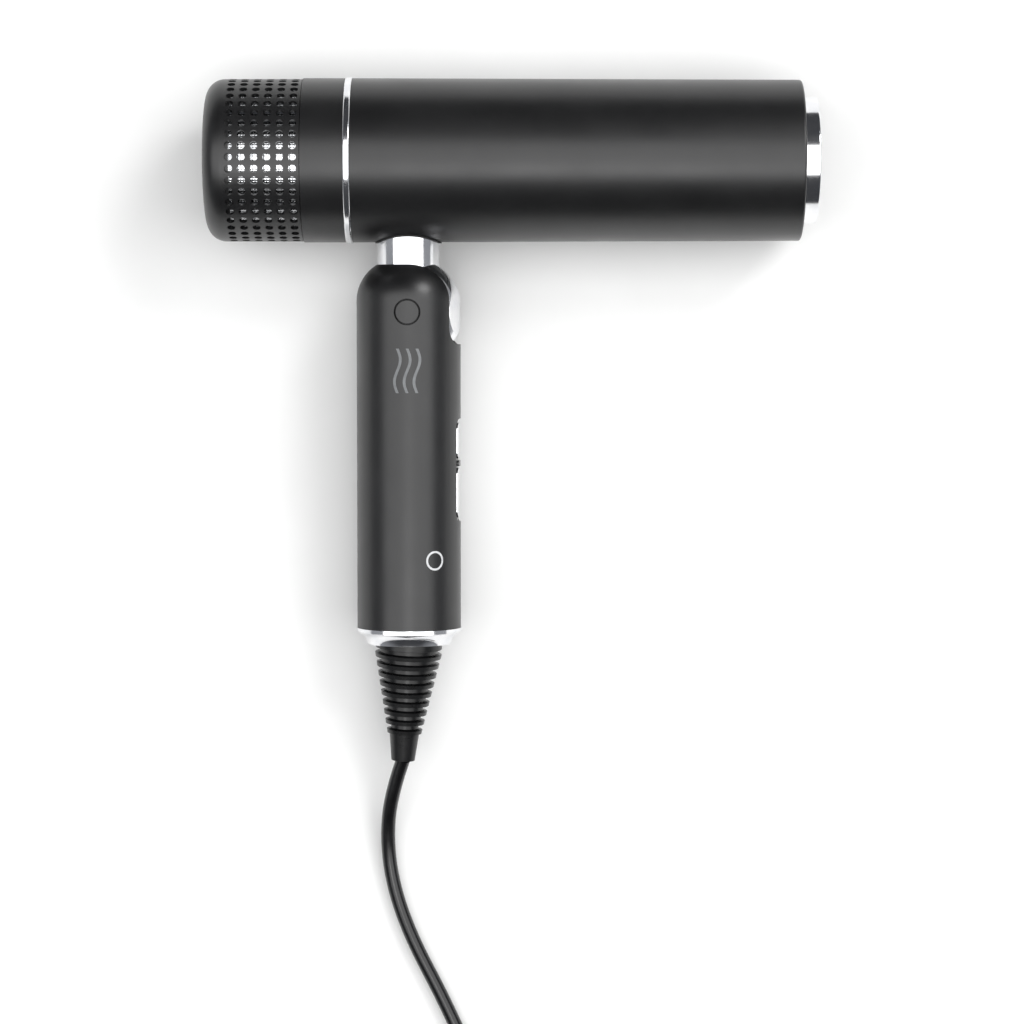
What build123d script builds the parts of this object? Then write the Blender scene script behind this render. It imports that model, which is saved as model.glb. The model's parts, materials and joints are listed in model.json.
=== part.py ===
from build123d import *
import math
import os

# A folding T-shaped travel hair dryer. All sizes are in millimetres.
# It is drawn standing square to its own axes: the barrel runs along X with its
# outlet at +X, the handle hangs along -Y, and Z is the axis that the handle
# folds about. The last section lays it on its side on a table.

os.makedirs("parts", exist_ok=True)

# ---- barrel ----
barrel_r = 26.0          # outside, at the back
barrel_front_r = 25.5    # outside, at the outlet
barrel_bore_r = 24.3
tube_back = -17.6
tube_front = 124.8
tube_edge = 0.8
accent_r = 26.4
accent_width = 2.2
housing_width = 13.3
spigot_gap = 0.1
spigot_wall = 1.4
spigot_reach = 4.3       # how far the housing's spigot goes into the tube
cap_spigot_reach = 6.1   # and how far its other one goes into the intake cap

# ---- removable intake cap ----
cap_r = 25.7
cap_length = 30.6
cap_wall = 1.2
cap_corner = 6.0
cap_seam = 0.2
sleeve_length = 24.1
hole_r = 1.25
hole_columns = 6
hole_pitch = 3.98
hole_first = 2.1         # from the sleeve's front edge to its first column
holes_around = 44
face_rings = {4.6: 8, 8.8: 15, 13.0: 22, 17.2: 29}
face_hole_r = 1.1
mesh_wall = 0.4
mesh_gap = 0.3           # mesh to the spigot that it slides over

# ---- fan unit ----
fan_r = 14.5
fan_wall = 1.1
fan_back = -10.0
fan_length = 36.0
motor_r = 7.2
motor_length = 18.0
shaft_r = 1.0
run_gap = 0.05
bearing_r = 3.5
blade_count = 9
vane_count = 7
damper_wall = 1.6
carrier_wall = 1.2
carrier_front = 24.0

# ---- heater and outlet ----
shield_r = 18.0
shield_wall = 0.5
mica_thick = 0.8
mica_r = 16.5
mica_back = 34.0
mica_front = tube_front - 16.8
coil_r = 14.2
coil_wire_r = 0.55
coil_turns = 15
coil_pitch = 4.6
outlet_r = 20.0
outlet_wall = 1.8
outlet_reach = 5.0       # how far the ring stands out of the tube
outlet_back = tube_front - 8.8
nozzle_step = 0.8        # the ring is this much smaller inside the tube
nozzle_stand = 0.1       # full size starts this far in front of the tube
grille_back = tube_front - 5.8
grille_thick = 2.4
emitter_r = 2.5

# ---- handle ----
handle_r = 16.6
handle_wall = 1.6
handle_end = 149.0       # from the barrel's axis to the handle's lower edge
pivot_y = -48.1
dome_corner = handle_r - 3.13
dome_rise = 3.5          # centre of the dome's corner above the pivot
neck_r = 9.9
neck_bore_r = 5.5
neck_top = 21.0
gasket_width = 0.7
gasket_height = 0.3
slot_gap = 0.2
slot_depth = 10.3        # slot's lower edge below the pivot
slot_corner = 5.0
flush_gap = 0.15
fork_gap = 0.1
knuckle_half = neck_r - 0.2
knuckle_ball_r = handle_r - 2.3
pin_r = 3.0
pin_inner = 5.8
washer_r = 6.0
washer_thick = 1.0
cap_disc_r = 3.6
cap_groove = 0.6
fork_bridge = 3.0
end_ring_r = handle_r + 0.4
end_ring_height = 5.4

# ---- switch panel on the handle's outlet side ----
panel_top = -82.2
panel_bottom = -115.0
panel_half = 6.4
panel_recess = 0.85
panel_corner = 3.0
button_half = 4.2
button_proud = 0.45
button_gap = 0.25
button_corner = 2.2
button_margin = 0.4      # from a button to the divider
panel_margin = 1.3       # from a button to the panel's end
stem_x = 5.5             # where a button's stem meets its switch
stem_r = 1.6
button_travel = 0.8
divider_y = -96.35
divider_height = 2.2

# ---- cord ----
cord_r = 2.3
boot_base = Vector(0, -handle_end - 3.5, 0)
boot_tip = boot_base + Vector(-2.15, -39.8, -2.2)
boot_r = 10.7
boot_neck_r = 5.1
boot_tip_r = 3.8
rib_count = 9
rib_depth = 1.3
# The cord's route on the table, in the laid-down frame.
lead_points = [
    (-39.2, -139.5, 8.4),
    (-40.6, -155.0, 3.9),
    (-38.4, -170.5, 2.3),
    (-32.4, -187.0, 2.3),
    (-22.6, -205.5, 2.3),
    (-12.8, -227.0, 2.3),
    (-7.4, -247.0, 2.3),
    (-6.4, -259.0, 2.3),
]
coil_centre = (33.6, -266.0)
coil_outer_r = 42.6
coil_inner_r = 18.8
coil_height = 9.5
tail_points = [
    (33.6, -306.6, 6.9),
    (52.5, -308.5, 5.4),
    (70.5, -304.0, 4.2),
    (83.0, -293.5, 4.6),
    (89.5, -281.0, 6.2),
    (90.2, -268.5, 7.6),
]
plug_length = 23.0
plug_width = 22.0
plug_thick = 15.2
plug_boot = 11.0
blade_length = 16.0
blade_apart = 12.7


def turned_x(points, mode=Mode.ADD):
    """Turn a profile of (x, radius) points about the barrel's axis."""
    with BuildSketch(Plane.XY) as profile:
        with BuildLine():
            Polyline(*points, close=True)
        make_face()
    revolve(profile.sketch, axis=Axis.X, mode=mode)


def turned_y(points, mode=Mode.ADD):
    """Turn a profile of (radius, y) points about the handle's axis."""
    with BuildSketch(Plane.XY) as profile:
        with BuildLine():
            Polyline(*points, close=True)
        make_face()
    revolve(profile.sketch, axis=Axis.Y, mode=mode)


def tube_x(back, front, outer, inner, mode=Mode.ADD):
    """A tube, or a rod when inner is 0, along the barrel's axis."""
    turned_x([(back, inner), (back, outer), (front, outer), (front, inner)], mode)


# ---------------------------------------------------------------- barrel shells
accent_back = tube_back - accent_width
housing_back = accent_back - housing_width

with BuildPart() as barrel_tube:
    turned_x([
        (tube_back, barrel_bore_r),
        (tube_back, barrel_r),
        (tube_front, barrel_front_r),
        (tube_front, barrel_bore_r),
    ])
    fillet(barrel_tube.edges().group_by(Axis.X)[-1].sort_by(SortBy.LENGTH)[-1], tube_edge)
    with BuildSketch(Plane.XZ.offset(barrel_bore_r / 2)):
        Circle(neck_r + slot_gap)
    extrude(amount=barrel_r, mode=Mode.SUBTRACT)

with BuildPart() as accent_ring:
    tube_x(accent_back, tube_back, accent_r, barrel_bore_r)
    fillet(accent_ring.edges().filter_by(GeomType.CIRCLE).sort_by(SortBy.RADIUS)[-2:], accent_width / 4)

spigot_r = barrel_bore_r - spigot_gap
cap_spigot_r = cap_r - cap_wall - spigot_gap - mesh_wall - mesh_gap - 1.0
with BuildPart() as rear_housing:
    turned_x([
        (housing_back - cap_spigot_reach, cap_spigot_r - spigot_wall),
        (housing_back - cap_spigot_reach, cap_spigot_r),
        (housing_back, cap_spigot_r),
        (housing_back, barrel_r),
        (accent_back, barrel_r),
        (accent_back, spigot_r),
        (tube_back + spigot_reach, spigot_r),
        (tube_back + spigot_reach, spigot_r - spigot_wall),
        (accent_back - 1, spigot_r - spigot_wall),
        (accent_back - 3, cap_spigot_r - spigot_wall),
    ])

# ---------------------------------------------------------------- intake cap
sleeve_front = housing_back - cap_seam
sleeve_back = sleeve_front - sleeve_length
cap_back = sleeve_front - cap_length
sleeve_bore_r = cap_r - cap_wall

with BuildPart() as perforated_sleeve:
    tube_x(sleeve_back, sleeve_front, cap_r, sleeve_bore_r)
    for column in range(hole_columns):
        with Locations(Plane.YZ.offset(sleeve_front - hole_first - column * hole_pitch)):
            with PolarLocations(sleeve_bore_r, holes_around):
                with Locations(Rotation(0, 90, 0)):
                    Cylinder(hole_r, 4 * cap_wall, mode=Mode.SUBTRACT)

lip_r = sleeve_bore_r - spigot_gap
mesh_r = cap_spigot_r + mesh_gap + mesh_wall
with BuildPart() as intake_cap:
    with BuildSketch(Plane.XY):
        with BuildLine():
            Polyline((cap_back + cap_corner, cap_r), (sleeve_back, cap_r), (sleeve_back, lip_r),
                     (sleeve_back + 2, lip_r), (sleeve_back + 2, mesh_r + spigot_gap),
                     (cap_back + cap_corner, mesh_r + spigot_gap))
            CenterArc((cap_back + cap_corner, cap_r - cap_corner), mesh_r + spigot_gap - cap_r
                      + cap_corner, 90, 90)
            Polyline((cap_back + cap_r - mesh_r - spigot_gap, cap_r - cap_corner),
                     (cap_back + cap_r - mesh_r - spigot_gap, 0), (cap_back, 0),
                     (cap_back, cap_r - cap_corner))
            CenterArc((cap_back + cap_corner, cap_r - cap_corner), cap_corner, 90, 90)
        make_face()
    revolve(axis=Axis.X)
    for ring_r, count in face_rings.items():
        with Locations(Plane.YZ.offset(cap_back)):
            with PolarLocations(ring_r, count):
                Cylinder(face_hole_r, 4 * cap_wall, mode=Mode.SUBTRACT)

mesh_back = cap_back + cap_r - mesh_r + cap_corner
with BuildPart() as filter_mesh:
    turned_x([
        (mesh_back, 0),
        (mesh_back, mesh_r),
        (sleeve_front, mesh_r),
        (sleeve_front, mesh_r - mesh_wall),
        (mesh_back + mesh_wall, mesh_r - mesh_wall),
        (mesh_back + mesh_wall, 0),
    ])

# ---------------------------------------------------------------- fan unit
fan_front = fan_back + fan_length
fan_bore_r = fan_r - fan_wall
with BuildPart() as fan_shroud:
    tube_x(fan_back, fan_front, fan_r, fan_bore_r)
    tube_x(0, motor_length, motor_r + 0.9, motor_r)
    with Locations(Plane.YZ.offset(motor_length / 2)):
        with PolarLocations((motor_r + 0.5 + fan_bore_r + 0.5) / 2, vane_count):
            Box(fan_bore_r - motor_r, 0.9, motor_length - 4)

with BuildPart() as impeller:
    turned_x([
        (fan_back - 0.5, shaft_r),
        (fan_back + 1, 3.5),
        (fan_back + 4, 5.6),
        (-1.5, 6.5),
        (-1.5, shaft_r),
    ])
    blade_span = fan_bore_r - 0.5 - 5.0
    with Locations(Plane.YZ.offset(fan_back + 5)):
        with PolarLocations(5.0 + blade_span / 2, blade_count):
            with Locations(Rotation(35, 0, 0)):
                Box(blade_span, 0.9, 6)
    tube_x(fan_back - 2, 0, shaft_r, 0, mode=Mode.SUBTRACT)

with BuildPart() as motor_shaft:
    tube_x(fan_back - 0.5, motor_length + 0.5, shaft_r, 0)

with BuildPart() as rotor_magnet:
    tube_x(4, motor_length - 4, 3.2, shaft_r)

with BuildPart() as motor_can:
    turned_x([
        (0, bearing_r),
        (0, motor_r),
        (motor_length, motor_r),
        (motor_length, bearing_r),
        (motor_length - 1.8, bearing_r),
        (motor_length - 1.8, motor_r - 0.8),
        (1.8, motor_r - 0.8),
        (1.8, bearing_r),
    ])

with BuildPart() as motor_bearings:
    tube_x(0, 1.8, bearing_r, shaft_r + run_gap)
    tube_x(motor_length - 1.8, motor_length, bearing_r, shaft_r + run_gap)

with BuildPart() as stator_core:
    tube_x(4, motor_length - 4, motor_r - 0.8, 3.7)
    with Locations(Plane.YZ.offset(motor_length / 2)):
        with PolarLocations(5.0, 6):
            Cylinder(0.9, motor_length, mode=Mode.SUBTRACT)

with BuildPart() as motor_damper:
    tube_x(fan_back + 2, fan_front - 6, fan_r + damper_wall, fan_r)
    with Locations(Plane.YZ.offset(0)):
        with PolarLocations(fan_r + damper_wall, 12):
            Box(1.2, 3.0, 2 * fan_length, mode=Mode.SUBTRACT)

carrier_bore_r = fan_r + damper_wall
socket_r = shield_r + 0.1
with BuildPart() as fan_carrier:
    turned_x([
        (fan_back, carrier_bore_r),
        (fan_back, carrier_bore_r + carrier_wall),
        (carrier_front - 2, carrier_bore_r + carrier_wall),
        (carrier_front - 2, spigot_r),
        (carrier_front, spigot_r),
        (carrier_front, socket_r + 1.2),
        (carrier_front + 10, socket_r + 1.2),
        (carrier_front + 10, socket_r),
        (carrier_front, socket_r),
        (carrier_front, carrier_bore_r),
    ])
    with Locations(Plane.YZ.offset(carrier_front)):
        with PolarLocations((socket_r + 1.2 + spigot_r) / 2, 3):
            Cylinder(1.5, 8, mode=Mode.SUBTRACT)

cone_r = cap_spigot_r - spigot_wall - spigot_gap
with BuildPart() as inlet_cone:
    turned_x([
        (housing_back + 3, cone_r - 1),
        (housing_back + 10, cone_r - 3.4),
        (fan_back - 7.5, fan_bore_r + 1.6),
        (fan_back - 0.2, fan_bore_r),
        (fan_back - 0.2, fan_bore_r + 1.1),
        (fan_back - 7, fan_bore_r + 2.7),
        (housing_back + 10.8, cone_r - 2.2),
        (housing_back + 4, cone_r),
        (housing_back + 3, cone_r),
    ])

# ---------------------------------------------------------------- heater
with BuildPart() as heat_shield:
    tube_x(carrier_front + 0.1, outlet_back - 0.2, shield_r, shield_r - shield_wall)

coil_middle = (mica_back + mica_front) / 2
coil_places = [coil_middle + (i - (coil_turns - 1) / 2) * coil_pitch for i in range(coil_turns)]
with BuildPart() as mica_cross:
    with Locations((coil_middle, 0, 0)):
        Box(mica_front - mica_back, 2 * mica_r, mica_thick)
        Box(mica_front - mica_back, mica_thick, 2 * mica_r)
    for x in coil_places:
        with Locations(Location((x, 0, 0), (0, 90, 0))):
            Torus(coil_r, coil_wire_r + 0.1, mode=Mode.SUBTRACT)

with BuildPart() as heater_coils:
    for x in coil_places:
        with Locations(Location((x, 0, 0), (0, 90, 0))):
            Torus(coil_r, coil_wire_r)

with BuildPart() as thermal_fuse:
    with Locations(Location((mica_back + 6, 5.0, 5.0), (0, 90, 0))):
        Cylinder(2.0, 9.0)

# ---------------------------------------------------------------- outlet
outlet_front = tube_front + outlet_reach
with BuildPart() as front_bezel:
    tube_x(tube_front - 3.4, tube_front - 0.5, spigot_r, outlet_r - nozzle_step + spigot_gap)
    fillet(front_bezel.edges().group_by(Axis.X)[-1], 0.4)

with BuildPart() as outlet_ring:
    turned_x([
        (outlet_back, outlet_r - outlet_wall),
        (outlet_back, outlet_r - nozzle_step),
        (tube_front + nozzle_stand, outlet_r - nozzle_step),
        (tube_front + nozzle_stand, outlet_r),
        (outlet_front, outlet_r),
        (outlet_front, outlet_r - outlet_wall),
    ])
    fillet(outlet_ring.edges().group_by(Axis.X)[-1], outlet_wall / 3)

grille_r = outlet_r - outlet_wall
with BuildPart() as outlet_grille:
    tube_x(grille_back, grille_back + grille_thick, grille_r, grille_r - 1.4)
    tube_x(grille_back, grille_back + grille_thick, emitter_r + 1.6, emitter_r)
    for ring_r in (7.6, 11.6, 15.0):
        tube_x(grille_back, grille_back + grille_thick, ring_r, ring_r - 0.9)
    with Locations(Plane.YZ.offset(grille_back + grille_thick / 2)):
        with PolarLocations((emitter_r + 1 + grille_r - 0.8) / 2, 8):
            Box(grille_r - 0.8 - emitter_r - 1, 1.0, grille_thick)

with BuildPart() as ion_emitter:
    tube_x(grille_back - 5, grille_back + grille_thick + 0.6, emitter_r, 1.6)
    tube_x(grille_back - 5, grille_back - 2, emitter_r, 0)
    turned_x([
        (grille_back - 2, 0),
        (grille_back - 2, 0.5),
        (grille_back + 2, 0.5),
        (grille_back + 4, 0.1),
        (grille_back + 4, 0),
    ])

# ---------------------------------------------------------------- hinge between head and handle
bore_r = handle_r - handle_wall
slot_half = neck_r + slot_gap
dome_flat = handle_r - dome_corner
dome_y = pivot_y + dome_rise
dome_reach = math.hypot(dome_flat, dome_rise) + dome_corner
shoulder_y = pivot_y + math.sqrt(dome_reach ** 2 - slot_half ** 2) + slot_gap
knuckle_reach = math.hypot(bore_r - 0.3, slot_depth)


def domed(radius, corner, bottom, mode=Mode.ADD):
    """A solid handle shape: a rod whose top edge is rounded off by corner."""
    with BuildSketch(Plane.XY) as profile:
        with BuildLine():
            Line((radius, dome_y), (radius, bottom))
            Line((radius, bottom), (0, bottom))
            Line((0, bottom), (0, dome_y + corner))
            Line((0, dome_y + corner), (radius - corner, dome_y + corner))
            CenterArc((radius - corner, dome_y), corner, 0, 90)
        make_face()
    revolve(profile.sketch, axis=Axis.Y, mode=mode)


slot_corner_z = slot_half - slot_corner


def swing_limit(z):
    """How far from the fold axis a point this high may be and still miss the slot's corners."""
    corner_low = slot_depth - slot_corner + math.sqrt(slot_corner ** 2 - (z - slot_corner_z) ** 2)
    return math.sqrt(bore_r ** 2 - z ** 2 + corner_low ** 2) - slot_gap


rim_steps = 8
rim_heights = [
    slot_corner_z + i * (knuckle_half - slot_corner_z) / rim_steps for i in range(rim_steps + 1)
]
rim = [(swing_limit(z), z) for z in rim_heights]
with BuildPart() as swing_room:
    with BuildSketch(Plane.XZ):
        with BuildLine():
            Polyline((0, -knuckle_half), *[(r, -z) for r, z in reversed(rim)], *rim,
                     (0, knuckle_half), close=True)
        make_face()
    revolve(axis=Axis.Z)

with BuildPart() as flush_block:
    domed(handle_r - flush_gap, dome_corner - flush_gap, pivot_y - 2 * slot_depth)
    with Locations((0, pivot_y, 0)):
        Sphere(knuckle_reach, mode=Mode.INTERSECT)
        add(swing_room.part, mode=Mode.INTERSECT)
    with BuildSketch(Plane.YZ):
        with Locations((pivot_y, 0)):
            with Locations((knuckle_reach / 2 - slot_depth / 2 + 0.2, 0)):
                RectangleRounded(knuckle_reach + slot_depth - 0.4, 2 * knuckle_half, slot_corner)
    extrude(amount=2 * handle_r, mode=Mode.INTERSECT)

with BuildPart() as neck_knuckle:
    with Locations((0, pivot_y, 0)):
        Sphere(knuckle_ball_r)
        Box(4 * handle_r, 4 * handle_r, 2 * knuckle_half, mode=Mode.INTERSECT)
    with BuildSketch(Plane.XZ.offset(neck_top)):
        Circle(neck_r)
    extrude(amount=-pivot_y - neck_top - neck_r)
    add(flush_block.part)
    with BuildSketch(Plane.XZ.offset(neck_top)):
        Circle(neck_bore_r)
    extrude(amount=2 * handle_r + neck_r, mode=Mode.SUBTRACT)
    with Locations((0, pivot_y, 0)):
        Cylinder(pin_r + run_gap, 4 * handle_r, mode=Mode.SUBTRACT)
        with Locations((0, 0, knuckle_half), (0, 0, -knuckle_half)):
            Cylinder(washer_r + 0.2, 2 * (washer_thick - 0.3), mode=Mode.SUBTRACT)

with BuildPart() as neck_gasket:
    with BuildSketch(Plane.XZ.offset(barrel_r / 2)):
        Circle(neck_r + gasket_width)
        Circle(neck_r + spigot_gap / 2, mode=Mode.SUBTRACT)
    extrude(amount=barrel_r)
    tube_x(-2 * neck_r, 2 * neck_r, barrel_r + gasket_height, 0, mode=Mode.INTERSECT)
    tube_x(-2 * neck_r, 2 * neck_r, barrel_r, 0, mode=Mode.SUBTRACT)

with BuildPart() as neck_saddle:
    with BuildSketch(Plane.XZ.offset(neck_top - 2.4)):
        Circle(neck_r + 3.6)
        Circle(neck_r, mode=Mode.SUBTRACT)
    extrude(amount=barrel_r)
    tube_x(-2 * neck_r, 2 * neck_r, barrel_bore_r - 0.05, 0, mode=Mode.INTERSECT)
    with Locations(Plane.XZ.offset(neck_top)):
        with PolarLocations(neck_r + 1.8, 2):
            Cylinder(0.9, barrel_r, mode=Mode.SUBTRACT)

with BuildPart() as saddle_screws:
    with Locations(Plane.XZ.offset(neck_top - 2.4)):
        with PolarLocations(neck_r + 1.8, 2):
            Cylinder(0.9, 2.2, align=(Align.CENTER, Align.CENTER, Align.MIN))
            Cylinder(1.6, 1.2, align=(Align.CENTER, Align.CENTER, Align.MAX))

with BuildPart() as hinge_fork:
    domed(bore_r - fork_gap, dome_corner - handle_wall - fork_gap,
          pivot_y - knuckle_reach - 2 - fork_bridge)
    with Locations((0, pivot_y - knuckle_reach - 2, 0)):
        Box(4 * handle_r, 4 * handle_r, 2 * slot_half - 0.1, mode=Mode.SUBTRACT,
            align=(Align.CENTER, Align.MIN, Align.CENTER))
    with Locations((0, pivot_y, 0)):
        Cylinder(pin_r, 4 * handle_r, mode=Mode.SUBTRACT)
    with BuildSketch(Plane.XZ.offset(-pivot_y)):
        Circle(neck_bore_r)
    extrude(amount=2 * handle_r, mode=Mode.SUBTRACT)

with BuildPart() as pivot_pins:
    for side in (1, -1):
        with BuildSketch(Plane.XY.offset(side * pin_inner)):
            with Locations((0, pivot_y)):
                Circle(pin_r)
        extrude(amount=side * (bore_r - 0.3 - pin_inner))

with BuildPart() as hinge_washers:
    for side in (1, -1):
        with BuildSketch(Plane.XY.offset(side * (slot_half - 0.1))):
            with Locations((0, pivot_y)):
                Circle(washer_r)
                Circle(pin_r, mode=Mode.SUBTRACT)
        extrude(amount=-side * washer_thick)

with BuildPart() as pivot_caps:
    with Locations((0, pivot_y, 0)):
        Cylinder(cap_disc_r, 4 * handle_r)
    turned_y([(bore_r, 0), (handle_r - 0.1, 0), (handle_r - 0.1, -handle_end),
              (bore_r, -handle_end)], mode=Mode.INTERSECT)

# ---------------------------------------------------------------- handle shell
panel_middle = (panel_top + panel_bottom) / 2
panel_length = panel_top - panel_bottom
with BuildPart() as handle_shell:
    domed(handle_r, dome_corner, -handle_end)
    domed(bore_r, dome_corner - handle_wall, -handle_end, mode=Mode.SUBTRACT)
    with BuildSketch(Plane.XZ.offset(-dome_y)):
        Circle(slot_half)
    extrude(amount=-2 * dome_corner, mode=Mode.SUBTRACT)
    with BuildSketch(Plane.YZ):
        with Locations((pivot_y - slot_depth + 2 * handle_r, 0)):
            RectangleRounded(4 * handle_r, 2 * slot_half, slot_corner)
    extrude(amount=2 * handle_r, mode=Mode.SUBTRACT)
    with Locations((0, pivot_y, 0)):
        Cylinder(cap_disc_r + cap_groove, 4 * handle_r, mode=Mode.SUBTRACT)
    with BuildSketch(Plane.YZ):
        with Locations((panel_middle, 0)):
            RectangleRounded(panel_length + 0.2, 2 * panel_half + 0.2, panel_corner)
    extrude(amount=2 * handle_r, mode=Mode.SUBTRACT)

with BuildPart() as end_ring:
    with BuildSketch(Plane.XY):
        with BuildLine():
            Polyline((bore_r - 0.1, -handle_end), (end_ring_r, -handle_end),
                     (end_ring_r, -handle_end - 1.2))
            RadiusArc((end_ring_r, -handle_end - 1.2),
                      (end_ring_r - 3.4, -handle_end - end_ring_height + 0.2), -5.0)
            Polyline((end_ring_r - 3.4, -handle_end - end_ring_height + 0.2),
                     (boot_r + 0.6, -handle_end - end_ring_height),
                     (boot_r + 0.6, -handle_end - 2.4), (bore_r - 1.6, -handle_end - 2.4),
                     (bore_r - 1.6, -handle_end + 5), (bore_r - 0.1, -handle_end + 5),
                     (bore_r - 0.1, -handle_end))
        make_face()
    revolve(axis=Axis.Y)

# ---------------------------------------------------------------- switch panel and electronics
button_tops = {
    "speed": panel_top - panel_margin,
    "heat": divider_y - divider_height / 2 - button_margin,
}
button_ends = {
    "speed": divider_y + divider_height / 2 + button_margin,
    "heat": panel_bottom + panel_margin,
}


def flank(inner, outer):
    """Keep only what lies between two radii of the handle's axis."""
    turned_y([(inner, 0), (outer, 0), (outer, -handle_end), (inner, -handle_end)],
             mode=Mode.INTERSECT)


with BuildPart() as switch_panel:
    with BuildSketch(Plane.YZ):
        with Locations((panel_middle, 0)):
            RectangleRounded(panel_length, 2 * panel_half, panel_corner)
    extrude(amount=2 * handle_r)
    flank(bore_r - 1.6, handle_r - panel_recess)
    with BuildSketch(Plane.YZ):
        for key, top in button_tops.items():
            with Locations(((top + button_ends[key]) / 2, 0)):
                RectangleRounded(top - button_ends[key] + 2 * button_gap,
                                 2 * (button_half + button_gap), button_corner + button_gap)
    extrude(amount=2 * handle_r, mode=Mode.SUBTRACT)

with BuildPart() as divider_rib:
    with BuildSketch(Plane.YZ):
        with Locations((divider_y, 0)):
            RectangleRounded(divider_height - 0.4, 2 * button_half, 0.8)
    extrude(amount=2 * handle_r)
    flank(handle_r - panel_recess, handle_r - 0.05)




def push_button(top, bottom):
    """An oblong button with a stem that reaches in to its switch."""
    with BuildSketch(Plane.YZ) as cap:
        with Locations(((top + bottom) / 2, 0)):
            RectangleRounded(top - bottom, 2 * button_half, button_corner)
    extrude(cap.sketch, amount=2 * handle_r)
    flank(bore_r - 1.2, handle_r - panel_recess + button_proud)
    with BuildSketch(Plane.YZ.offset(stem_x)) as stem:
        with Locations(((top + bottom) / 2, 0)):
            Circle(stem_r)
    extrude(stem.sketch, amount=bore_r - stem_x)


with BuildPart() as speed_button:
    push_button(button_tops["speed"], button_ends["speed"])

with BuildPart() as heat_button:
    push_button(button_tops["heat"], button_ends["heat"])

board_top = pivot_y - knuckle_reach - fork_bridge - 5
board_x = -1.0
board_thick = 1.6
board_edge = 2.0         # from the board's long edges to the handle's bore
board_length = 56.0
with BuildPart() as control_board:
    with Locations((board_x, board_top, 0)):
        Box(board_thick, board_length, 2 * (bore_r - board_edge), align=(Align.MIN, Align.MAX, Align.CENTER))

switch_body = 6.0
switch_height = 2.4
plunger_r = 1.5
plunger_reach = stem_x - board_x - board_thick - button_travel - 0.2
with BuildPart() as board_switches:
    for key, top in button_tops.items():
        with Locations((board_x + board_thick, (top + button_ends[key]) / 2, 0)):
            Box(switch_height, switch_body, switch_body,
                align=(Align.MIN, Align.CENTER, Align.CENTER))
            with Locations(Rotation(0, 90, 0)):
                Cylinder(plunger_r, plunger_reach,
                         align=(Align.CENTER, Align.CENTER, Align.MIN))

capacitor_r = 4.5
capacitor_length = 18.0
with BuildPart() as board_capacitor:
    with Locations((board_x - capacitor_r - 0.1, board_top - 0.8 * board_length, 4)):
        with Locations(Rotation(90, 0, 0)):
            Cylinder(capacitor_r, capacitor_length)

sink_base = 1.5
sink_reach = 7.0
sink_width = 14.0
fin_thick = 1.2
fin_pitch = 4.0
fin_count = 6
sink_align = (Align.MAX, Align.CENTER, Align.CENTER)
with BuildPart() as heat_sink:
    with Locations((board_x - 0.05, board_top - 0.3 * board_length, 0)):
        Box(sink_base, fin_count * fin_pitch, sink_width, align=sink_align)
    with Locations((board_x - sink_base + 0.5, board_top - 0.3 * board_length, 0)):
        with GridLocations(0, fin_pitch, 1, fin_count):
            Box(sink_reach, fin_thick, sink_width, align=sink_align)

clamp_y = -handle_end + 9
clamp_thick = 5.0
clamp_screw_r = 1.0
clamp_head_r = 1.9
clamp_head = 1.2
clamp_holes = [(0, 7.2, 0), (0, -7.2, 0)]
with BuildPart() as cord_clamp:
    with Locations((0, clamp_y, 0)):
        Box(10, clamp_thick, 20)
        with Locations(Rotation(90, 0, 0)):
            Cylinder(cord_r + 0.1, 4 * clamp_thick, mode=Mode.SUBTRACT)
            with Locations(*clamp_holes):
                Cylinder(clamp_screw_r, 4 * clamp_thick, mode=Mode.SUBTRACT)

with BuildPart() as clamp_screws:
    with Locations((0, clamp_y, 0)):
        with Locations(Rotation(90, 0, 0)):
            with Locations(*clamp_holes):
                Cylinder(clamp_screw_r, clamp_thick)
                with Locations((0, 0, clamp_thick / 2)):
                    Cylinder(clamp_head_r, clamp_head,
                             align=(Align.CENTER, Align.CENTER, Align.MIN))

# ---------------------------------------------------------------- strain relief
boot_vector = boot_tip - boot_base
boot_length = boot_vector.length
boot_plane = Plane(origin=boot_base, x_dir=(1, 0, 0), z_dir=boot_vector)
rib_start = 3.2
rib_end = 31.0
rib_pitch = (rib_end - rib_start) / rib_count


def boot_radius(along):
    """The boot's outside radius, which shrinks evenly along its ribs."""
    return boot_r + (boot_neck_r - boot_r) * (along - rib_start) / (rib_end - rib_start)


boot_profile = [(0, 0), (boot_r, 0), (boot_r, rib_start)]
for rib in range(rib_count):
    low = rib_start + rib * rib_pitch
    boot_profile.append((boot_radius(low) - rib_depth, low + 0.1 * rib_pitch))
    boot_profile.append((boot_radius(low) - rib_depth, low + 0.45 * rib_pitch))
    boot_profile.append((boot_radius(low), low + 0.6 * rib_pitch))
    boot_profile.append((boot_radius(low) - 0.2, low + rib_pitch))
boot_profile += [(boot_neck_r - 0.3, rib_end), (boot_tip_r, boot_length), (0, boot_length)]

boot_side = Plane(origin=boot_base, x_dir=boot_plane.x_dir, z_dir=-boot_plane.y_dir)
with BuildPart() as strain_relief:
    with BuildSketch(boot_side):
        with BuildLine():
            Polyline(*boot_profile, close=True)
        make_face()
    revolve(axis=Axis(boot_base, boot_vector))

with BuildPart() as cord_core:
    with BuildSketch(Plane.XZ.offset(handle_end - 15)):
        Circle(cord_r)
    extrude(amount=-boot_base.Y - handle_end + 15 - 0.2)

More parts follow.
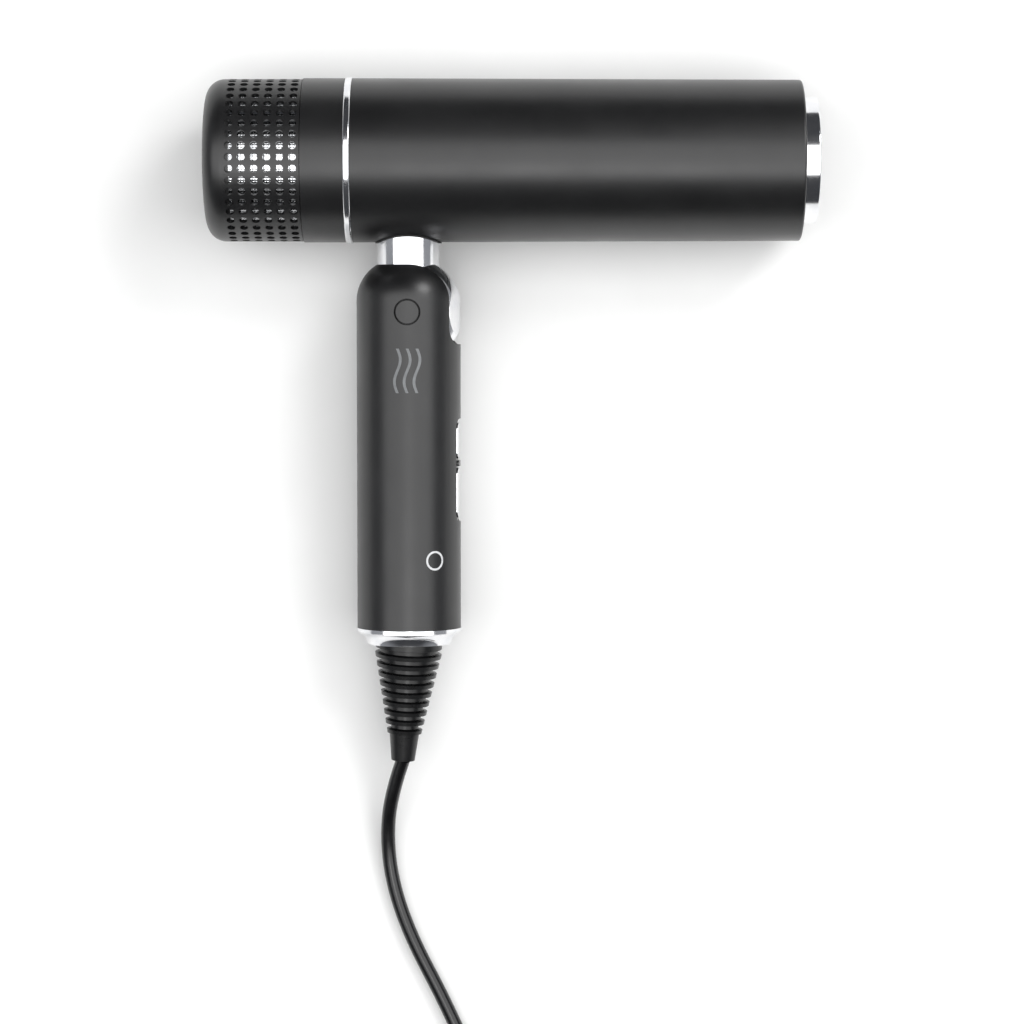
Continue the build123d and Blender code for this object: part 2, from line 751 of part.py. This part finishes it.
# ---------------------------------------------------------------- laying the dryer down
# The accent ring and the end ring touch the table, so the handle dips by this angle.
end_ring_low = handle_end + 1.2
dip = math.degrees(
    math.asin(accent_r / math.hypot(end_ring_low, end_ring_r))
    - math.atan2(end_ring_r, end_ring_low)
)
tilt = Location((0, 0, 0), (dip, 0, 0))
ring_box = accent_ring.part.moved(tilt).bounding_box()
end_box = end_ring.part.moved(tilt).bounding_box()
rest_place = Location(
    (
        -(cap_back + outlet_front) / 2,
        -(ring_box.max.Y + end_box.min.Y) / 2,
        -min(ring_box.min.Z, end_box.min.Z),
    ),
    (dip, 0, 0),
)

dryer = {
    "barrel_tube": barrel_tube,
    "accent_ring": accent_ring,
    "rear_housing": rear_housing,
    "perforated_sleeve": perforated_sleeve,
    "intake_cap": intake_cap,
    "filter_mesh": filter_mesh,
    "fan_shroud": fan_shroud,
    "impeller": impeller,
    "motor_shaft": motor_shaft,
    "rotor_magnet": rotor_magnet,
    "motor_can": motor_can,
    "motor_bearings": motor_bearings,
    "stator_core": stator_core,
    "motor_damper": motor_damper,
    "fan_carrier": fan_carrier,
    "inlet_cone": inlet_cone,
    "heat_shield": heat_shield,
    "mica_cross": mica_cross,
    "heater_coils": heater_coils,
    "thermal_fuse": thermal_fuse,
    "front_bezel": front_bezel,
    "outlet_ring": outlet_ring,
    "outlet_grille": outlet_grille,
    "ion_emitter": ion_emitter,
    "neck_knuckle": neck_knuckle,
    "neck_gasket": neck_gasket,
    "neck_saddle": neck_saddle,
    "saddle_screws": saddle_screws,
    "hinge_fork": hinge_fork,
    "pivot_pins": pivot_pins,
    "hinge_washers": hinge_washers,
    "pivot_caps": pivot_caps,
    "handle_shell": handle_shell,
    "end_ring": end_ring,
    "switch_panel": switch_panel,
    "divider_rib": divider_rib,
    "speed_button": speed_button,
    "heat_button": heat_button,
    "control_board": control_board,
    "board_switches": board_switches,
    "board_capacitor": board_capacitor,
    "heat_sink": heat_sink,
    "cord_clamp": cord_clamp,
    "clamp_screws": clamp_screws,
    "strain_relief": strain_relief,
    "cord_core": cord_core,
}
for name, piece in dryer.items():
    piece.part = piece.part.moved(rest_place)
    piece.part.label = name
    export_step(piece.part, f"parts/{name}.step")

# ---------------------------------------------------------------- cord and plug, on the table


def corner_radii(points):
    """For each corner, as large an arc as its two runs allow."""
    found = []
    for before, corner, after in zip(points, points[1:], points[2:]):
        run_in = Vector(*corner) - Vector(*before)
        run_out = Vector(*after) - Vector(*corner)
        half_turn = math.radians(run_in.get_angle(run_out) / 2)
        found.append(0.45 * min(run_in.length, run_out.length) / math.tan(half_turn))
    return found


def cord_tube(name, points):
    """A round cord along straight runs joined by arcs, with its radii printed."""
    radii = corner_radii(points)
    with BuildPart() as tube:
        with BuildLine() as route:
            FilletPolyline(*points, radius=radii)
        first_edge = route.wires()[0]
        with BuildSketch(Plane(origin=first_edge @ 0, z_dir=first_edge % 0)):
            Circle(cord_r)
        sweep(path=first_edge)
    ideal = math.pi * cord_r ** 2 * first_edge.length
    print(name, "radii", [round(r, 1) for r in radii], "length", round(first_edge.length, 1),
          "volume share", round(tube.part.volume / ideal, 4))
    return tube


laid_tip = (rest_place * Location(boot_tip)).position
cord_lead = cord_tube("cord_lead", [tuple(laid_tip)] + lead_points)
cord_lead.part.label = "cord_lead"
export_step(cord_lead.part, "parts/cord_lead.step")

with BuildPart() as cord_coil:
    with BuildSketch(Plane.XY):
        with Locations(coil_centre):
            Circle(coil_outer_r)
            Circle(coil_inner_r, mode=Mode.SUBTRACT)
    extrude(amount=coil_height)
    fillet(cord_coil.edges().filter_by(GeomType.CIRCLE), cord_r * 0.9)
cord_coil.part.label = "cord_coil"
export_step(cord_coil.part, "parts/cord_coil.step")

cord_tail = cord_tube("cord_tail", tail_points)
cord_tail.part.label = "cord_tail"
export_step(cord_tail.part, "parts/cord_tail.step")

plug_x, plug_y, plug_z = tail_points[-1]
with BuildPart() as plug_relief:
    with BuildSketch(Plane.XZ.offset(-plug_y)):
        with Locations((plug_x, plug_z)):
            Circle(cord_r + 1.2)
    with BuildSketch(Plane.XZ.offset(-plug_y - plug_boot)):
        with Locations((plug_x, plug_z)):
            Circle(cord_r + 3.2)
    loft()
plug_relief.part.label = "plug_relief"
export_step(plug_relief.part, "parts/plug_relief.step")

with BuildPart() as plug_body:
    with Locations((plug_x, plug_y + plug_boot, plug_z)):
        Box(plug_width, plug_length, plug_thick, align=(Align.CENTER, Align.MIN, Align.CENTER))
    fillet(plug_body.edges().filter_by(Axis.Y), plug_thick / 3)
    fillet(plug_body.edges().group_by(Axis.Y)[0], 2.0)
plug_body.part.label = "plug_body"
export_step(plug_body.part, "parts/plug_body.step")

with BuildPart() as plug_blades:
    for side in (1, -1):
        with Locations((plug_x + side * blade_apart / 2, plug_y + plug_boot + plug_length, plug_z)):
            Box(1.5, blade_length, 6.3, align=(Align.CENTER, Align.MIN, Align.CENTER))
    chamfer(plug_blades.edges().group_by(Axis.Y)[-1].filter_by(Axis.Z), 0.5)
plug_blades.part.label = "plug_blades"
export_step(plug_blades.part, "parts/plug_blades.step")

print("dip", round(dip, 3), "rest place", rest_place)
print("pivot", (rest_place * Location((0, pivot_y, 0))).position)
print("boot tip", laid_tip)
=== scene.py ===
import json
import math
import bpy
import bmesh
from mathutils import Matrix, Vector


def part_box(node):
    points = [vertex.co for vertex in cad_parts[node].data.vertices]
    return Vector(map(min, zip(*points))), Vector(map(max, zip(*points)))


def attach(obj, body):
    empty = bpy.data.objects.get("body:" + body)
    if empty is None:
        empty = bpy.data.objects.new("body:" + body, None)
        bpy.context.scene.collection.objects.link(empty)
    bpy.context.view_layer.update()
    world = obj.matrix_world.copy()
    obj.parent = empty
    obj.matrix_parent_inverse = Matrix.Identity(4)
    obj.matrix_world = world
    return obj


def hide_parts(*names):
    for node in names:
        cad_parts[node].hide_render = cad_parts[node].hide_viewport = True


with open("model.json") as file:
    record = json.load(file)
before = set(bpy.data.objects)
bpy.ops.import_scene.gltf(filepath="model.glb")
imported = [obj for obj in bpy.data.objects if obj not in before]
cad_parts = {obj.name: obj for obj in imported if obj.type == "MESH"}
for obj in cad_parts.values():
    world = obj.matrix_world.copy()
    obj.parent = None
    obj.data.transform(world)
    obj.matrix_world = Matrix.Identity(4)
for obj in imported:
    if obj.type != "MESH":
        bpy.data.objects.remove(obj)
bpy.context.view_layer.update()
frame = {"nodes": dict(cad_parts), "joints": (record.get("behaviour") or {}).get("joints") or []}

nodes = frame["nodes"]
mm = 0.001

# camera, straight above the dryer lying on its side
camera = {
    "middle": (0.05, -47.7),
    "sharpHeight": 26.4,      # the barrel's axis above the table
    "distance": 1050.0,
    "halfWidth": 163.0,
    "sensor": 36.0,
    "near": 0.02, "far": 30.0,    # in metres
}
cameraData = bpy.data.cameras.new("camera")
cameraData.sensor_width = camera["sensor"]
cameraData.lens = camera["sensor"] / 2 * camera["distance"] / camera["halfWidth"]
cameraData.clip_start = camera["near"]
cameraData.clip_end = camera["far"]
cameraObject = bpy.data.objects.new("camera", cameraData)
cameraObject.location = (camera["middle"][0] * mm, camera["middle"][1] * mm,
                         (camera["sharpHeight"] + camera["distance"]) * mm)
bpy.context.scene.collection.objects.link(cameraObject)
bpy.context.scene.camera = cameraObject
bpy.context.scene.view_settings.view_transform = "Standard"
print("camera ready")


# sRGB hex to the linear colour that a shader takes
def linearColour(hexColour):
    parts = [int(hexColour[i:i + 2], 16) / 255 for i in (1, 3, 5)]
    return [p / 12.92 if p <= 0.04045 else ((p + 0.055) / 1.055) ** 2.4 for p in parts] + [1.0]


def addNode(tree, kind, settings, inputs):
    node = tree.nodes.new(kind)
    for name, value in settings.items():
        setattr(node, name, value)
    for name, value in inputs.items():
        if isinstance(value, bpy.types.NodeSocket):
            tree.links.new(value, node.inputs[name])
        else:
            node.inputs[name].default_value = value
    return node


def makePiece(name, mesh, body):
    piece = bpy.data.objects.new(name, mesh)
    bpy.context.scene.collection.objects.link(piece)
    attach(piece, body)
    return piece


# mains cord, 1.8 m with its unseen length in a coil
cord = {
    "diameter": 4.6,
    "length": 1.8,
    "lead": [
        (-35.1, -127.58, 12.13), (-39.3, -139.5, 8.4), (-40.6, -155.0, 3.9),
        (-38.4, -170.5, 2.3), (-32.4, -187.0, 2.3), (-22.6, -205.5, 2.3),
        (-12.8, -227.0, 2.3), (-7.4, -247.0, 2.3),
    ],
    "tail": [
        (52.5, -308.5, 5.4), (70.5, -304.0, 4.2), (83.0, -293.5, 4.6),
        (89.5, -281.0, 6.2), (90.2, -268.5, 7.6),
    ],
    "coilCentre": (33.6, -266.0),
    "outerTurn": 40.4,
    "innerTurn": 21.2,
    "turns": 4,               # in each of two layers
    "pointsPerTurn": 16,
    "low": 2.3,               # height of each layer's middle
    "high": 7.0,
    "stepsPerPoint": 6,
    "roundness": 5,
}


# the lower layer winds inward, a quarter turn climbs, and the upper one winds outward
def coilPoints():
    steps = cord["turns"] * cord["pointsPerTurn"]
    climb = cord["pointsPerTurn"] // 4
    span = cord["outerTurn"] - cord["innerTurn"]
    points = []
    for step in range(2 * steps + climb + 1):
        if step <= steps:
            radius, height = cord["outerTurn"] - span * step / steps, cord["low"]
        elif step <= steps + climb:
            share = (step - steps) / climb
            radius = cord["innerTurn"]
            height = cord["low"] + (cord["high"] - cord["low"]) * share
        else:
            radius = cord["innerTurn"] + span * (step - steps - climb) / steps
            height = cord["high"]
        angle = math.pi + 2 * math.pi * step / cord["pointsPerTurn"]
        points.append((cord["coilCentre"][0] + radius * math.cos(angle),
                       cord["coilCentre"][1] + radius * math.sin(angle), height))
    return points


cordCurve = bpy.data.curves.new("mainsCord", "CURVE")
cordCurve.dimensions = "3D"
cordSpline = cordCurve.splines.new("NURBS")
route = cord["lead"] + coilPoints() + cord["tail"]
cordSpline.points.add(len(route) - 1)
for point, place in zip(cordSpline.points, route):
    point.co = (place[0] * mm, place[1] * mm, place[2] * mm, 1.0)
    point.radius = cord["diameter"] / 2 * mm
cordSpline.order_u = 3
cordSpline.use_endpoint_u = True
cordSpline.resolution_u = cord["stepsPerPoint"]
cordCurve.bevel_depth = 1.0     # each point's radius gives the cord's own
cordCurve.bevel_resolution = cord["roundness"]
cordCurve.use_fill_caps = True
mainsCord = makePiece("mainsCord", cordCurve, "handle")
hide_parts("cord_lead", "cord_coil", "cord_tail")

# ridges to grip on the two narrow sides of the plug, all in mm
grip = {
    "count": 5, "pitch": 2.4,
    "wide": 1.1, "tall": 9.0, "proud": 0.35, "rounding": 0.3,
}
plugLow, plugHigh = (Vector(corner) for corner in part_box("plug_body"))
plugMiddle = (plugLow + plugHigh) / 2
ridges = bmesh.new()
for side in (plugLow.x, plugHigh.x):
    for step in range(grip["count"]):
        along = (step - (grip["count"] - 1) / 2) * grip["pitch"] * mm
        ridge = bmesh.ops.create_cube(ridges, size=1.0)["verts"]
        bmesh.ops.scale(ridges, vec=(2 * grip["proud"] * mm, grip["wide"] * mm,
                                     grip["tall"] * mm), verts=ridge)
        bmesh.ops.translate(ridges, vec=(side, plugMiddle.y + along, plugMiddle.z), verts=ridge)
bmesh.ops.bevel(ridges, geom=ridges.edges[:], offset=grip["rounding"] * mm, segments=2,
                profile=0.5, material=-1, affect="EDGES")
plugGripMesh = bpy.data.meshes.new("plugGrip")
ridges.to_mesh(plugGripMesh)
ridges.free()
plugGrip = makePiece("plugGrip", plugGripMesh, "handle")
print("cord ready")

# materials: colour and second colour are the two ends of the mottling, patch its size in mm,
# roughness its two ends, grain the bump's spacing in mm and depth its height in mm.
finishes = {
    # ABS under soft-touch satin paint: wide dull highlights, faint orange peel
    "satinPaintedAbs": {
        "colour": "#0e0e0f", "second": "#121213", "patch": 9.0, "roughness": (0.33, 0.39),
        "grain": 0.5, "depth": 0.012, "metal": 0.0, "ior": 1.58,
    },
    # moulded ABS with a polished tool: sharper highlights in the switch recess
    "polishedAbs": {
        "colour": "#0b0b0c", "second": "#101011", "patch": 6.0, "roughness": (0.16, 0.24),
        "grain": 0.7, "depth": 0.004, "metal": 0.0, "ior": 1.53,
    },
    # ABS with bright chrome plate: mirror with a trace of waviness and handling marks
    "chromePlatedAbs": {
        "colour": "#f1f1f2", "second": "#e4e5e8", "patch": 5.0, "roughness": (0.10, 0.17),
        "grain": 2.6, "depth": 0.004, "metal": 1.0, "ior": 1.5,
    },
    # glass-filled nylon: dull, with short fibres showing as grain
    "mouldedNylon": {
        "colour": "#141415", "second": "#1f1f20", "patch": 2.2, "roughness": (0.45, 0.62),
        "grain": 0.45, "depth": 0.03, "metal": 0.0, "ior": 1.53,
    },
    # turned and plated steel: close rings from the lathe
    "turnedSteel": {
        "colour": "#b9babd", "second": "#a4a6aa", "patch": 3.0, "roughness": (0.20, 0.34),
        "grain": 0.35, "depth": 0.012, "metal": 1.0, "ior": 1.5, "pattern": "turned",
    },
    # nickel-plated brass of the plug's blades: warm and smooth with rub marks
    "nickelPlatedBrass": {
        "colour": "#cfc9bb", "second": "#bdb6a6", "patch": 3.0, "roughness": (0.14, 0.30),
        "grain": 0.9, "depth": 0.006, "metal": 1.0, "ior": 1.5,
    },
    # machined aluminium: paler and greyer than steel
    "machinedAluminium": {
        "colour": "#c6c8cb", "second": "#b0b2b6", "patch": 4.0, "roughness": (0.26, 0.40),
        "grain": 0.5, "depth": 0.016, "metal": 1.0, "ior": 1.5, "pattern": "turned",
    },
    # silicone rubber: no gloss, picks up pale dust
    "mouldedRubber": {
        "colour": "#0d0d0d", "second": "#1a1a1a", "patch": 1.8, "roughness": (0.60, 0.80),
        "grain": 0.4, "depth": 0.02, "metal": 0.0, "ior": 1.5,
    },
    # flexible PVC of the boot and plug: wet-looking black with a soft ripple
    "mouldedPvc": {
        "colour": "#070708", "second": "#0c0c0d", "patch": 3.0, "roughness": (0.24, 0.34),
        "grain": 1.1, "depth": 0.010, "metal": 0.0, "ior": 1.45,
    },
    # extruded PVC of the cord: glossy with drawn-out ripples
    "extrudedPvc": {
        "colour": "#09090a", "second": "#0f0f10", "patch": 4.0, "roughness": (0.15, 0.24),
        "grain": 1.6, "depth": 0.012, "metal": 0.0, "ior": 1.52,
    },
    # mica board: pale brown with dark flecks and a silky sheen
    "pressedMica": {
        "colour": "#8f8264", "second": "#c7ba98", "patch": 0.9, "roughness": (0.30, 0.55),
        "grain": 1.2, "depth": 0.03, "metal": 0.0, "ior": 1.58,
    },
    # nickel-chrome wire that has been hot: brown and blue oxide
    "oxidisedHeatingWire": {
        "colour": "#6f5c4d", "second": "#5b6472", "patch": 2.4, "roughness": (0.35, 0.5),
        "grain": 0.4, "depth": 0.01, "metal": 1.0, "ior": 1.5,
    },
    # fired steatite: off-white with a thin glaze
    "glazedCeramic": {
        "colour": "#e6e2d6", "second": "#d8d2c2", "patch": 1.5, "roughness": (0.18, 0.32),
        "grain": 0.6, "depth": 0.01, "metal": 0.0, "ior": 1.52,
    },
    # glass-epoxy board under green solder mask with copper tracks beneath it
    "solderMaskedBoard": {
        "colour": "#0d4a24", "second": "#1d6e3a", "patch": 2.5, "roughness": (0.24, 0.36),
        "grain": 1.27, "depth": 0.03, "metal": 0.0, "ior": 1.52, "pattern": "tracks",
    },
    # epoxy bodies of switches and the capacitor's sleeve
    "mouldedEpoxy": {
        "colour": "#131417", "second": "#1d1f24", "patch": 1.6, "roughness": (0.3, 0.45),
        "grain": 0.4, "depth": 0.012, "metal": 0.0, "ior": 1.55,
    },
    # pad-printed grey ink, thin enough that the paint's peel shows through
    "printedInk": {
        "colour": "#77797b", "second": "#6c6e70", "patch": 1.4, "roughness": (0.42, 0.52),
        "grain": 0.5, "depth": 0.01, "metal": 0.0, "ior": 1.5,
    },
    # pad-printed silver-white ink
    "silverInk": {
        "colour": "#d9dadb", "second": "#c8c9cb", "patch": 1.2, "roughness": (0.34, 0.44),
        "grain": 0.6, "depth": 0.008, "metal": 0.0, "ior": 1.5,
    },
}


def startMaterial(name, settings):
    material = bpy.data.materials.new(name)
    material.use_nodes = True
    tree = material.node_tree
    tree.nodes.clear()
    surface = addNode(tree, "ShaderNodeBsdfPrincipled", {},
                      {"Metallic": settings["metal"], "IOR": settings["ior"]})
    addNode(tree, "ShaderNodeOutputMaterial", {}, {"Surface": surface.outputs["BSDF"]})
    place = addNode(tree, "ShaderNodeTexCoord", {}, {}).outputs["Object"]
    return material, tree, surface, place


# how sharply the two colours meet, and how much wider the smudges are than the patches
mottling = {"dark": 0.36, "pale": 0.64, "detail": 4.0, "smudgeScale": 420, "smudgeDetail": 6.0}


# uneven colour and gloss in patches
def mottle(tree, surface, place, settings):
    cloud = addNode(tree, "ShaderNodeTexNoise", {},
                    {"Vector": place, "Scale": 1000 / settings["patch"],
                     "Detail": mottling["detail"]})
    colours = addNode(tree, "ShaderNodeValToRGB", {}, {"Fac": cloud.outputs["Fac"]})
    colours.color_ramp.elements[0].position = mottling["dark"]
    colours.color_ramp.elements[1].position = mottling["pale"]
    colours.color_ramp.elements[0].color = linearColour(settings["colour"])
    colours.color_ramp.elements[1].color = linearColour(settings["second"])
    smudge = addNode(tree, "ShaderNodeTexNoise", {},
                     {"Vector": place, "Scale": mottling["smudgeScale"] / settings["patch"],
                      "Detail": mottling["smudgeDetail"], "Roughness": 0.6})
    gloss = addNode(tree, "ShaderNodeMapRange", {},
                    {"Value": smudge.outputs["Fac"], "From Min": 0.3, "From Max": 0.7,
                     "To Min": settings["roughness"][0], "To Max": settings["roughness"][1]})
    tree.links.new(colours.outputs["Color"], surface.inputs["Base Color"])
    tree.links.new(gloss.outputs["Result"], surface.inputs["Roughness"])


# the height pattern of one finish, from 0 to 1
def surfaceHeight(tree, place, settings):
    pattern = settings.get("pattern", "grain")
    if pattern == "turned":
        rings = addNode(tree, "ShaderNodeTexWave", {"bands_direction": "X"},
                        {"Vector": place, "Scale": 314 / settings["grain"] / 2,
                         "Distortion": 1.5, "Detail": 2.0, "Detail Scale": 3.0})
        return rings.outputs["Fac"]
    if pattern == "tracks":
        bricks = addNode(tree, "ShaderNodeTexBrick", {},
                         {"Vector": place, "Scale": 1000 / settings["grain"] / 6,
                          "Mortar Size": 0.06, "Mortar": (0, 0, 0, 1),
                          "Color1": (1, 1, 1, 1), "Color2": (0.4, 0.4, 0.4, 1)})
        return bricks.outputs["Color"]
    peel = addNode(tree, "ShaderNodeTexNoise", {},
                   {"Vector": place, "Scale": 1000 / settings["grain"], "Detail": 3.0})
    return peel.outputs["Fac"]


def plainFinish(name, settings):
    material, tree, surface, place = startMaterial(name, settings)
    mottle(tree, surface, place, settings)
    bump = addNode(tree, "ShaderNodeBump", {},
                   {"Height": surfaceHeight(tree, place, settings),
                    "Strength": 1.0, "Distance": settings["depth"] * mm})
    tree.links.new(bump.outputs["Normal"], surface.inputs["Normal"])
    return material


materials = {name: plainFinish(name, settings) for name, settings in finishes.items()}

# stainless wire mesh: two sets of wires, each dipping under the other
mesh = {
    "pitch": 0.9,             # real wires are 0.3 mm apart, drawn coarser so they show
    "colour": "#dadbdd", "second": "#c3c5c8", "patch": 3.0,
    "roughness": (0.14, 0.24), "metal": 1.0, "ior": 1.5, "depth": 0.05,
}


def wovenSteel():
    material, tree, surface, place = startMaterial("wovenStainlessMesh", mesh)
    mottle(tree, surface, place, mesh)
    low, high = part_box("filter_mesh")
    middle = (Vector(low) + Vector(high)) / 2
    girth = math.pi * (high[2] - low[2]) / mm / mesh["pitch"]
    centred = addNode(tree, "ShaderNodeVectorMath", {"operation": "SUBTRACT"},
                      {0: place, 1: tuple(middle)})
    parts = addNode(tree, "ShaderNodeSeparateXYZ", {}, {"Vector": centred.outputs["Vector"]})
    angle = addNode(tree, "ShaderNodeMath", {"operation": "ARCTAN2"},
                    {0: parts.outputs["Y"], 1: parts.outputs["Z"]})
    around = addNode(tree, "ShaderNodeMath", {"operation": "MULTIPLY"},
                     {0: angle.outputs[0], 1: float(round(girth / 2))})
    along = addNode(tree, "ShaderNodeMath", {"operation": "MULTIPLY"},
                    {0: parts.outputs["X"], 1: math.pi * 1000 / mesh["pitch"]})
    wave = [addNode(tree, "ShaderNodeMath", {"operation": "SINE"}, {0: turn.outputs[0]})
            for turn in (around, along)]
    weave = addNode(tree, "ShaderNodeMath", {"operation": "MULTIPLY"},
                    {0: wave[0].outputs[0], 1: wave[1].outputs[0]})
    height = addNode(tree, "ShaderNodeMath", {"operation": "ABSOLUTE"}, {0: weave.outputs[0]})
    bump = addNode(tree, "ShaderNodeBump", {},
                   {"Height": height.outputs[0], "Strength": 1.0, "Distance": mesh["depth"] * mm})
    tree.links.new(bump.outputs["Normal"], surface.inputs["Normal"])
    return material


materials["wovenStainlessMesh"] = wovenSteel()

wears = {
    "satinPaintedAbs": ["barrel_tube", "rear_housing", "perforated_sleeve", "intake_cap",
                        "handle_shell", "pivot_caps", "front_bezel"],
    "polishedAbs": ["switch_panel", "divider_rib"],
    "chromePlatedAbs": ["accent_ring", "outlet_ring", "neck_knuckle", "end_ring",
                        "speed_button", "heat_button"],
    "wovenStainlessMesh": ["filter_mesh"],
    "mouldedNylon": ["fan_shroud", "inlet_cone", "fan_carrier", "hinge_fork", "cord_clamp",
                     "outlet_grille", "neck_saddle"],
    "machinedAluminium": ["impeller", "motor_can", "heat_sink"],
    "turnedSteel": ["motor_shaft", "motor_bearings", "stator_core", "saddle_screws",
                    "pivot_pins", "hinge_washers", "clamp_screws", "rotor_magnet"],
    "nickelPlatedBrass": ["plug_blades"],
    "mouldedRubber": ["motor_damper", "neck_gasket"],
    "mouldedPvc": ["strain_relief", "plug_relief", "plug_body"],
    "extrudedPvc": ["cord_core", "cord_lead", "cord_coil", "cord_tail"],
    "pressedMica": ["heat_shield", "mica_cross"],
    "oxidisedHeatingWire": ["heater_coils"],
    "glazedCeramic": ["thermal_fuse", "ion_emitter"],
    "solderMaskedBoard": ["control_board"],
    "mouldedEpoxy": ["board_switches", "board_capacitor"],
}
for name, members in wears.items():
    for member in members:
        for place in nodes[member].material_slots:
            place.material = materials[name]
cordCurve.materials.append(materials["extrudedPvc"])
plugGripMesh.materials.append(materials["mouldedPvc"])
print("materials ready")

# marks on the handle: plain and generic, in mm with 0, 0 at the pivot
fold = next(j for j in frame["joints"] if j["name"] == "handle_fold")
foldAxis = Vector(fold["axis"])
across = Vector((1, 0, 0))
handlePlace = Matrix.Translation(fold["pos_m"]) @ Matrix(
    (across, foldAxis.cross(across), foldAxis)).transposed().to_4x4()
marks = {
    "handleRadius": 16.6, "under": 0.02, "thick": 0.08,
    "airLines": (-3.1, 0.0, 3.1), "airWidth": 0.9, "airLength": 14.0, "airSwing": 0.95,
    "airMiddle": -18.5, "airWaves": 1.0,
    "airSteps": 48,
    "ringMiddle": (9.1, -78.6), "ringOuter": 3.1, "ringInner": 2.45, "ringSteps": 64,
}


# bends a flat mark, drawn in mm, round the handle and gives it a thickness
def layOnHandle(made, name, finish):
    for vert in made.verts:
        reach = vert.co.x / marks["handleRadius"]
        radius = marks["handleRadius"] - marks["under"]
        vert.co = Vector((radius * math.sin(reach), vert.co.y, radius * math.cos(reach)))
    bmesh.ops.recalc_face_normals(made, faces=made.faces)
    if made.faces and sum(face.normal.z for face in made.faces) < 0:
        bmesh.ops.reverse_faces(made, faces=made.faces)
    bmesh.ops.solidify(made, geom=made.faces[:], thickness=-marks["thick"])
    bmesh.ops.scale(made, vec=(mm, mm, mm), verts=made.verts)
    bmesh.ops.transform(made, matrix=handlePlace, verts=made.verts)
    bmesh.ops.recalc_face_normals(made, faces=made.faces)
    data = bpy.data.meshes.new(name)
    made.to_mesh(data)
    made.free()
    data.materials.append(materials[finish])
    return makePiece(name, data, "handle")


airLines = bmesh.new()
for offset in marks["airLines"]:
    strip = bmesh.ops.create_grid(airLines, x_segments=2, y_segments=marks["airSteps"],
                                  size=0.5)["verts"]
    bmesh.ops.scale(airLines, vec=(marks["airWidth"], marks["airLength"], 1), verts=strip)
    for vert in strip:
        turn = 2 * math.pi * marks["airWaves"] * vert.co.y / marks["airLength"]
        vert.co.x += offset + marks["airSwing"] * math.sin(turn)
        vert.co.y += marks["airMiddle"]
layOnHandle(airLines, "airLinesPrint", "printedInk")

ringMark = bmesh.new()
bmesh.ops.create_circle(ringMark, segments=marks["ringSteps"], radius=marks["ringInner"])
grown = bmesh.ops.extrude_edge_only(ringMark, edges=ringMark.edges[:])["geom"]
outer = [part for part in grown if isinstance(part, bmesh.types.BMVert)]
share = marks["ringOuter"] / marks["ringInner"]
bmesh.ops.scale(ringMark, vec=(share, share, 1), verts=outer)
bmesh.ops.translate(ringMark, vec=(*marks["ringMiddle"], 0), verts=ringMark.verts)
layOnHandle(ringMark, "ringPrint", "silverInk")
print("marks ready")

# floor and studio
studio = {
    "floorSize": 8.0,
    "dim": "#3f4043", "bright": "#97999d",   # the room overhead, and its white side walls
    "wallFrom": 0.45, "wallTo": 0.95,        # how far to the side the walls begin and are full
    "boxes": {
        # name: (place, aim, width, depth, watts)
        "leftBox": ((-1.4, -0.15, 1.9), (-1.4, -0.15, 0.0), 2.8, 1.9, 35.8),
        "rightBox": ((1.4, -0.15, 1.9), (1.4, -0.15, 0.0), 2.8, 1.9, 37.8),
        "lowBox": ((0.0, -0.62, 1.9), (0.0, -0.3, 0.0), 0.55, 0.5, 2.6),
        "keyBox": ((0.9, 0.9, 1.2), (0.0, 0.0, 0.0), 0.6, 0.6, 11.0),
    },
}
floorMaterial, floorTree, floorSurface, floorPlace = startMaterial(
    "paperSweep", {"metal": 0.0, "ior": 1.45})
mottle(floorTree, floorSurface, floorPlace,
       {"colour": "#f1f1f0", "second": "#f5f5f4", "patch": 60.0, "roughness": (0.75, 0.9)})
floorMesh = bmesh.new()
bmesh.ops.create_grid(floorMesh, x_segments=1, y_segments=1, size=studio["floorSize"] / 2)
floorData = bpy.data.meshes.new("floor")
floorMesh.to_mesh(floorData)
floorMesh.free()
floorData.materials.append(floorMaterial)
floor = bpy.data.objects.new("floor", floorData)
bpy.context.scene.collection.objects.link(floor)

world = bpy.data.worlds.new("studioRoom")
bpy.context.scene.world = world
world.use_nodes = True
backdrop = world.node_tree.nodes["Background"]
toward = addNode(world.node_tree, "ShaderNodeTexCoord", {}, {})
sideways = addNode(world.node_tree, "ShaderNodeSeparateXYZ", {},
                   {"Vector": toward.outputs["Generated"]})
reach = addNode(world.node_tree, "ShaderNodeMath", {"operation": "ABSOLUTE"},
                {0: sideways.outputs["X"]})
walls = addNode(world.node_tree, "ShaderNodeValToRGB", {}, {"Fac": reach.outputs[0]})
walls.color_ramp.elements[0].position = studio["wallFrom"]
walls.color_ramp.elements[1].position = studio["wallTo"]
walls.color_ramp.elements[0].color = linearColour(studio["dim"])
walls.color_ramp.elements[1].color = linearColour(studio["bright"])
world.node_tree.links.new(walls.outputs["Color"], backdrop.inputs["Color"])
for name, (place, aim, width, depth, watts) in studio["boxes"].items():
    lightData = bpy.data.lights.new(name, "AREA")
    lightData.shape = "RECTANGLE"
    lightData.size = width
    lightData.size_y = depth
    lightData.energy = watts
    light = bpy.data.objects.new(name, lightData)
    light.location = place
    light.rotation_euler = (Vector(aim) - Vector(place)).to_track_quat("-Z", "Y").to_euler()
    light.visible_camera = False
    bpy.context.scene.collection.objects.link(light)
print("studio ready")

bpy.context.view_layer.update()
